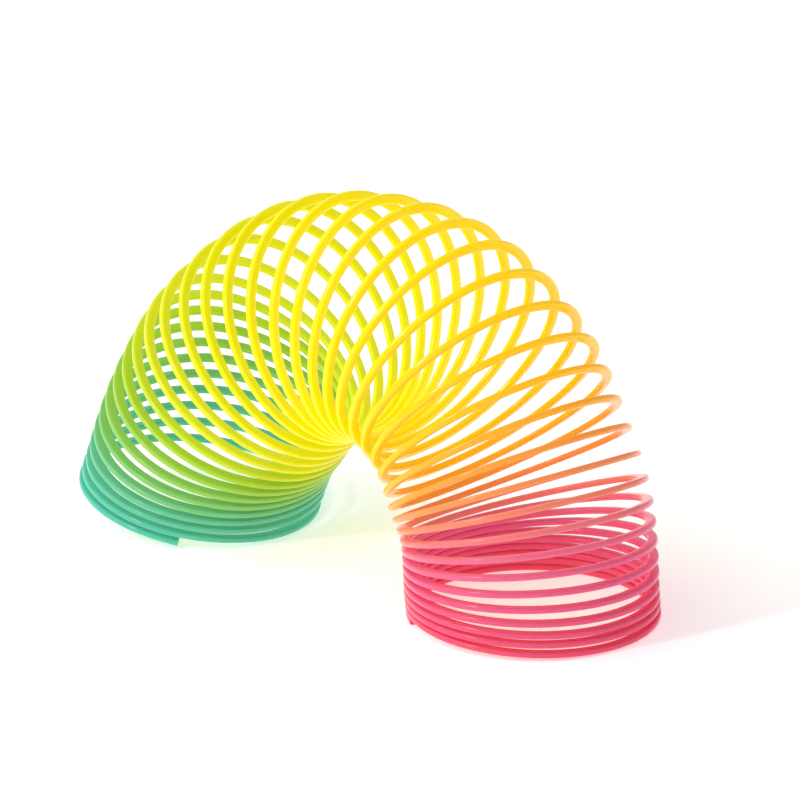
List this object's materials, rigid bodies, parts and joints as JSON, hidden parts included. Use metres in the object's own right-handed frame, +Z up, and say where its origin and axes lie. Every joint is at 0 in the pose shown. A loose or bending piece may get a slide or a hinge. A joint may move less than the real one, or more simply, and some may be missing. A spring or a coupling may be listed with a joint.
{
  "type": "spring coil toy",
  "caption": "Wide flat-strip plastic spring toy standing on both ends as an arch; its turns hinge one on the next and close into a column.",
  "frame": {"origin": "centre of the bounding box in X and Y, on the floor that both feet stand on", "axes": "+X from the left foot to the right foot, +Y to the back of the arch, +Z up"},
  "size_m": [0.2096, 0.0752, 0.1151],
  "materials": {
    "plastic_turn_01": "gloss, slightly see-through",
    "plastic_turn_02": "gloss, slightly see-through",
    "plastic_turn_03": "gloss, slightly see-through",
    "plastic_turn_04": "gloss, slightly see-through",
    "plastic_turn_05": "gloss, slightly see-through",
    "plastic_turn_06": "gloss, slightly see-through",
    "plastic_turn_07": "gloss, slightly see-through",
    "plastic_turn_08": "gloss, slightly see-through",
    "plastic_turn_09": "gloss, slightly see-through",
    "plastic_turn_10": "gloss, slightly see-through",
    "plastic_turn_11": "gloss, slightly see-through",
    "plastic_turn_12": "gloss, slightly see-through",
    "plastic_turn_13": "gloss, slightly see-through",
    "plastic_turn_14": "gloss, slightly see-through",
    "plastic_turn_15": "gloss, slightly see-through",
    "plastic_turn_16": "gloss, slightly see-through",
    "plastic_turn_17": "gloss, slightly see-through",
    "plastic_turn_18": "gloss, slightly see-through",
    "plastic_turn_19": "gloss, slightly see-through",
    "plastic_turn_20": "gloss, slightly see-through",
    "plastic_turn_21": "gloss, slightly see-through",
    "plastic_turn_22": "gloss, slightly see-through",
    "plastic_turn_23": "gloss, slightly see-through",
    "plastic_turn_24": "gloss, slightly see-through",
    "plastic_turn_25": "gloss, slightly see-through",
    "plastic_turn_26": "gloss, slightly see-through",
    "plastic_turn_27": "gloss, slightly see-through",
    "plastic_turn_28": "gloss, slightly see-through",
    "plastic_turn_29": "gloss, slightly see-through",
    "plastic_turn_30": "gloss, slightly see-through",
    "plastic_turn_31": "gloss, slightly see-through",
    "plastic_turn_32": "gloss, slightly see-through",
    "plastic_turn_33": "gloss, slightly see-through",
    "plastic_turn_34": "gloss, slightly see-through",
    "plastic_turn_35": "gloss, slightly see-through",
    "plastic_turn_36": "gloss, slightly see-through",
    "plastic_turn_37": "gloss, slightly see-through",
    "plastic_turn_38": "gloss, slightly see-through"
  },
  "bodies": {
    "left_foot": {"coil_turn_01": "plastic_turn_01", "coil_turn_02": "plastic_turn_02", "coil_turn_03": "plastic_turn_03", "coil_turn_04": "plastic_turn_04"},
    "turn_05": {"coil_turn_05": "plastic_turn_05"},
    "turn_06": {"coil_turn_06": "plastic_turn_06"},
    "turn_07": {"coil_turn_07": "plastic_turn_07"},
    "turn_08": {"coil_turn_08": "plastic_turn_08"},
    "turn_09": {"coil_turn_09": "plastic_turn_09"},
    "turn_10": {"coil_turn_10": "plastic_turn_10"},
    "turn_11": {"coil_turn_11": "plastic_turn_11"},
    "turn_12": {"coil_turn_12": "plastic_turn_12"},
    "turn_13": {"coil_turn_13": "plastic_turn_13"},
    "turn_14": {"coil_turn_14": "plastic_turn_14"},
    "turn_15": {"coil_turn_15": "plastic_turn_15"},
    "turn_16": {"coil_turn_16": "plastic_turn_16"},
    "turn_17": {"coil_turn_17": "plastic_turn_17"},
    "turn_18": {"coil_turn_18": "plastic_turn_18"},
    "turn_19": {"coil_turn_19": "plastic_turn_19"},
    "turn_20": {"coil_turn_20": "plastic_turn_20"},
    "turn_21": {"coil_turn_21": "plastic_turn_21"},
    "turn_22": {"coil_turn_22": "plastic_turn_22"},
    "turn_23": {"coil_turn_23": "plastic_turn_23"},
    "turn_24": {"coil_turn_24": "plastic_turn_24"},
    "turn_25": {"coil_turn_25": "plastic_turn_25"},
    "turn_26": {"coil_turn_26": "plastic_turn_26"},
    "turn_27": {"coil_turn_27": "plastic_turn_27"},
    "turn_28": {"coil_turn_28": "plastic_turn_28"},
    "turn_29": {"coil_turn_29": "plastic_turn_29"},
    "turn_30": {"coil_turn_30": "plastic_turn_30"},
    "turn_31": {"coil_turn_31": "plastic_turn_31"},
    "turn_32": {"coil_turn_32": "plastic_turn_32"},
    "turn_33": {"coil_turn_33": "plastic_turn_33"},
    "right_foot": {"coil_turn_34": "plastic_turn_34", "coil_turn_35": "plastic_turn_35", "coil_turn_36": "plastic_turn_36", "coil_turn_37": "plastic_turn_37", "coil_turn_38": "plastic_turn_38"}
  },
  "joints": [
    {"name": "left_leg_bend", "type": "hinge", "parent": "left_foot", "child": "turn_05", "pos_m": [-0.02674, 0, 0.01174], "axis": [0.2625, 0.9623, -0.0707], "range_deg": [-2.58, 0]},
    {"name": "bend_05", "type": "hinge", "parent": "turn_05", "child": "turn_06", "pos_m": [-0.02526, 0, 0.01438], "axis": [-0.0106, 0.9999, 0.0034], "range_deg": [-2.97, 0]},
    {"name": "bend_06", "type": "hinge", "parent": "turn_06", "child": "turn_07", "pos_m": [-0.02368, 0, 0.01673], "axis": [-0.2216, 0.9713, 0.0862], "range_deg": [-3.7, 0]},
    {"name": "bend_07", "type": "hinge", "parent": "turn_07", "child": "turn_08", "pos_m": [-0.02215, 0, 0.01878], "axis": [-0.3157, 0.9372, 0.1483], "range_deg": [-4.24, 0]},
    {"name": "bend_08", "type": "hinge", "parent": "turn_08", "child": "turn_09", "pos_m": [-0.02055, 0, 0.02088], "axis": [-0.3673, 0.9071, 0.2056], "range_deg": [-4.35, 0]},
    {"name": "bend_09", "type": "hinge", "parent": "turn_09", "child": "turn_10", "pos_m": [-0.01897, 0, 0.02322], "axis": [-0.4848, 0.815, 0.3174], "range_deg": [-4.63, 0]},
    {"name": "left_shoulder_bend", "type": "hinge", "parent": "turn_10", "child": "turn_11", "pos_m": [-0.01738, 0, 0.0257], "axis": [-0.4265, 0.8442, 0.3246], "range_deg": [-4.84, 0]},
    {"name": "bend_11", "type": "hinge", "parent": "turn_11", "child": "turn_12", "pos_m": [-0.01514, 0, 0.02829], "axis": [-0.1741, 0.9722, 0.1564], "range_deg": [-5.1, 0]},
    {"name": "bend_12", "type": "hinge", "parent": "turn_12", "child": "turn_13", "pos_m": [-0.01172, 0, 0.03142], "axis": [0.0516, 0.9971, -0.0563], "range_deg": [-5.85, 0]},
    {"name": "bend_13", "type": "hinge", "parent": "turn_13", "child": "turn_14", "pos_m": [-0.00758, 0, 0.03507], "axis": [0.0934, 0.9874, -0.1276], "range_deg": [-6.52, 0]},
    {"name": "bend_14", "type": "hinge", "parent": "turn_14", "child": "turn_15", "pos_m": [-0.00358, 0, 0.03805], "axis": [0.0385, 0.9969, -0.0685], "range_deg": [-6.86, 0]},
    {"name": "bend_15", "type": "hinge", "parent": "turn_15", "child": "turn_16", "pos_m": [-0.00013, 0, 0.03972], "axis": [-0.0011, 1, 0.0028], "range_deg": [-7.3, 0]},
    {"name": "bend_16", "type": "hinge", "parent": "turn_16", "child": "turn_17", "pos_m": [0.00306, 0, 0.04072], "axis": [0.0006, 1, -0.0026], "range_deg": [-7.71, 0]},
    {"name": "right_shoulder_bend", "type": "hinge", "parent": "turn_17", "child": "turn_18", "pos_m": [0.00594, 0, 0.04133], "axis": [0.0083, 0.9971, -0.0762], "range_deg": [-8.05, 0]},
    {"name": "bend_18", "type": "hinge", "parent": "turn_18", "child": "turn_19", "pos_m": [0.00846, 0, 0.04183], "axis": [-0.0063, 0.9881, -0.1537], "range_deg": [-8.76, 0]},
    {"name": "bend_19", "type": "hinge", "parent": "turn_19", "child": "turn_20", "pos_m": [0.01082, 0, 0.04225], "axis": [-0.0347, 0.9842, -0.1736], "range_deg": [-8.81, 0]},
    {"name": "bend_20", "type": "hinge", "parent": "turn_20", "child": "turn_21", "pos_m": [0.01329, 0, 0.0422], "axis": [-0.0532, 0.9876, -0.1474], "range_deg": [-8, 0]},
    {"name": "bend_21", "type": "hinge", "parent": "turn_21", "child": "turn_22", "pos_m": [0.01617, 0, 0.041], "axis": [-0.07, 0.9885, -0.1339], "range_deg": [-7.32, 0]},
    {"name": "bend_22", "type": "hinge", "parent": "turn_22", "child": "turn_23", "pos_m": [0.01936, 0, 0.03872], "axis": [-0.0718, 0.9921, -0.1033], "range_deg": [-6.73, 0]},
    {"name": "bend_23", "type": "hinge", "parent": "turn_23", "child": "turn_24", "pos_m": [0.02218, 0, 0.03609], "axis": [-0.032, 0.9988, -0.0364], "range_deg": [-6.07, 0]},
    {"name": "right_leg_bend", "type": "hinge", "parent": "turn_24", "child": "turn_25", "pos_m": [0.02407, 0, 0.03318], "axis": [0.0601, 0.9966, 0.0556], "range_deg": [-5.34, 0]},
    {"name": "bend_25", "type": "hinge", "parent": "turn_25", "child": "turn_26", "pos_m": [0.02528, 0, 0.02967], "axis": [0.1077, 0.9907, 0.0828], "range_deg": [-4.92, 0]},
    {"name": "bend_26", "type": "hinge", "parent": "turn_26", "child": "turn_27", "pos_m": [0.02633, 0, 0.02635], "axis": [0.0541, 0.9979, 0.0345], "range_deg": [-4.79, 0]},
    {"name": "bend_27", "type": "hinge", "parent": "turn_27", "child": "turn_28", "pos_m": [0.02755, 0, 0.0237], "axis": [-0.0181, 0.9998, -0.0095], "range_deg": [-4.7, 0]},
    {"name": "bend_28", "type": "hinge", "parent": "turn_28", "child": "turn_29", "pos_m": [0.02871, 0, 0.02135], "axis": [-0.0325, 0.9994, -0.0138], "range_deg": [-4.45, 0]},
    {"name": "bend_29", "type": "hinge", "parent": "turn_29", "child": "turn_30", "pos_m": [0.02964, 0, 0.01915], "axis": [0.0222, 0.9997, 0.0075], "range_deg": [-4.05, 0]},
    {"name": "bend_30", "type": "hinge", "parent": "turn_30", "child": "turn_31", "pos_m": [0.03013, 0, 0.017], "axis": [0.0989, 0.9948, 0.0258], "range_deg": [-3.73, 0]},
    {"name": "bend_31", "type": "hinge", "parent": "turn_31", "child": "turn_32", "pos_m": [0.03022, 0, 0.01493], "axis": [0.1352, 0.9905, 0.0262], "range_deg": [-3.35, 0]},
    {"name": "bend_32", "type": "hinge", "parent": "turn_32", "child": "turn_33", "pos_m": [0.03028, 0, 0.01291], "axis": [0.1205, 0.9926, 0.0165], "range_deg": [-2.87, 0]},
    {"name": "bend_33", "type": "hinge", "parent": "turn_33", "child": "right_foot", "pos_m": [0.03042, 0, 0.01093], "axis": [0.1009, 0.9949, 0.009], "range_deg": [-2.45, 0]}
  ],
  "couplings": [
    {"joint": "bend_05", "follows": "left_leg_bend", "ratio": 1.1479},
    {"joint": "bend_06", "follows": "left_leg_bend", "ratio": 1.4332},
    {"joint": "bend_07", "follows": "left_leg_bend", "ratio": 1.6396},
    {"joint": "bend_08", "follows": "left_leg_bend", "ratio": 1.6856},
    {"joint": "bend_09", "follows": "left_leg_bend", "ratio": 1.7943},
    {"joint": "bend_11", "follows": "left_shoulder_bend", "ratio": 1.052},
    {"joint": "bend_12", "follows": "left_shoulder_bend", "ratio": 1.2079},
    {"joint": "bend_13", "follows": "left_shoulder_bend", "ratio": 1.3469},
    {"joint": "bend_14", "follows": "left_shoulder_bend", "ratio": 1.4158},
    {"joint": "bend_15", "follows": "left_shoulder_bend", "ratio": 1.5082},
    {"joint": "bend_16", "follows": "left_shoulder_bend", "ratio": 1.5917},
    {"joint": "bend_18", "follows": "right_shoulder_bend", "ratio": 1.087},
    {"joint": "bend_19", "follows": "right_shoulder_bend", "ratio": 1.0937},
    {"joint": "bend_20", "follows": "right_shoulder_bend", "ratio": 0.9926},
    {"joint": "bend_21", "follows": "right_shoulder_bend", "ratio": 0.9082},
    {"joint": "bend_22", "follows": "right_shoulder_bend", "ratio": 0.8356},
    {"joint": "bend_23", "follows": "right_shoulder_bend", "ratio": 0.7536},
    {"joint": "bend_25", "follows": "right_leg_bend", "ratio": 0.9205},
    {"joint": "bend_26", "follows": "right_leg_bend", "ratio": 0.8966},
    {"joint": "bend_27", "follows": "right_leg_bend", "ratio": 0.8796},
    {"joint": "bend_28", "follows": "right_leg_bend", "ratio": 0.8318},
    {"joint": "bend_29", "follows": "right_leg_bend", "ratio": 0.758},
    {"joint": "bend_30", "follows": "right_leg_bend", "ratio": 0.6972},
    {"joint": "bend_31", "follows": "right_leg_bend", "ratio": 0.6267},
    {"joint": "bend_32", "follows": "right_leg_bend", "ratio": 0.5363},
    {"joint": "bend_33", "follows": "right_leg_bend", "ratio": 0.4571}
  ]
}
